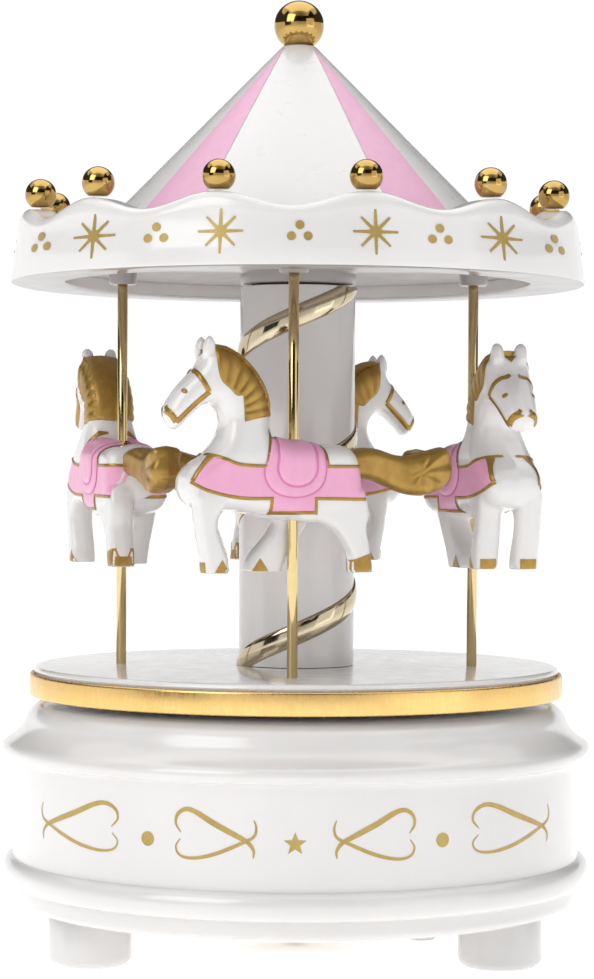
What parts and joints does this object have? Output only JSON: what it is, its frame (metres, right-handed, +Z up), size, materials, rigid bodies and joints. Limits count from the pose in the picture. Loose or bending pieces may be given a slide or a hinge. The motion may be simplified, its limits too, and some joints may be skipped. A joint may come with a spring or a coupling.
{
  "type": "carousel music box",
  "caption": "Wind-up carousel music box: horses on gold poles turn under a striped cone roof on a round base.",
  "frame": {"origin": "bottom centre of the bounding box, on the surface under the feet", "axes": "+Z up along the carousel's axis, -Y the front with the star, +X right"},
  "size_m": [0.105, 0.105, 0.169],
  "materials": {
    "white_plastic": "gloss",
    "roof_paint": "gloss",
    "gold_metal": "polished",
    "champagne_metal": "polished",
    "brass": "satin",
    "steel": "satin",
    "nylon": "matt",
    "pink_paint": "satin",
    "gold_paint": "satin"
  },
  "bodies": {
    "base": {"base_shell": "white_plastic", "foot_1": "white_plastic", "foot_2": "white_plastic", "foot_3": "white_plastic", "bottom_cover": "white_plastic", "cover_screw_1": "steel", "cover_screw_2": "steel", "cover_screw_3": "steel", "turntable_bush": "nylon", "bedplate": "steel", "bedplate_screw_1": "steel", "bedplate_screw_2": "steel", "bedplate_screw_3": "steel", "comb": "steel", "comb_screw_1": "steel", "comb_screw_2": "steel", "cylinder_bracket_inner": "brass", "cylinder_bracket_outer": "brass", "governor_frame": "brass"},
    "carousel": {"turntable": "white_plastic", "rim_band": "gold_metal", "column": "white_plastic", "column_ribbon": "champagne_metal", "tie_rod": "steel", "drive_shaft": "steel", "spring_barrel": "brass", "mainspring": "steel", "pole_1": "gold_metal", "pole_2": "gold_metal", "pole_3": "gold_metal", "pole_4": "gold_metal", "horse_1": "white_plastic", "horse_2": "white_plastic", "horse_3": "white_plastic", "horse_4": "white_plastic", "canopy_rim": "white_plastic", "canopy_floor": "white_plastic", "roof_cone": "roof_paint", "roof_ball_1": "gold_metal", "roof_ball_2": "gold_metal", "roof_ball_3": "gold_metal", "roof_ball_4": "gold_metal", "roof_ball_5": "gold_metal", "roof_ball_6": "gold_metal", "roof_ball_7": "gold_metal", "roof_ball_8": "gold_metal", "roof_ball_9": "gold_metal", "roof_ball_10": "gold_metal", "roof_ball_11": "gold_metal", "roof_ball_12": "gold_metal", "finial_ball": "gold_metal"},
    "cylinder": {"music_cylinder": "brass"},
    "governor_gear": {"governor_wheel": "brass"},
    "fan": {"governor_fan": "nylon"},
    "winder": {"winding_key": "brass", "winding_arbor": "steel"}
  },
  "joints": [
    {"name": "carousel_spin", "type": "hinge", "parent": "base", "child": "carousel", "pos_m": [0, 0, 0.045], "axis": [0, 0, 1], "continuous": true},
    {"name": "cylinder_spin", "type": "hinge", "parent": "base", "child": "cylinder", "pos_m": [0.024, 0, 0.0314], "axis": [1, 0, 0], "continuous": true},
    {"name": "governor_gear_spin", "type": "hinge", "parent": "base", "child": "governor_gear", "pos_m": [0.0384, 0.0098, 0.0314], "axis": [1, 0, 0], "continuous": true},
    {"name": "fan_spin", "type": "hinge", "parent": "base", "child": "fan", "pos_m": [0.0384, 0.0155, 0.0314], "axis": [0, 0, 1], "continuous": true},
    {"name": "key_winding", "type": "hinge", "parent": "base", "child": "winder", "pos_m": [0, 0, 0.0087], "axis": [0, 0, 1], "range_deg": [0, 1080]}
  ],
  "couplings": [
    {"joint": "cylinder_spin", "follows": "carousel_spin", "ratio": 2.8},
    {"joint": "governor_gear_spin", "follows": "carousel_spin", "ratio": -7},
    {"joint": "fan_spin", "follows": "carousel_spin", "ratio": 42}
  ]
}
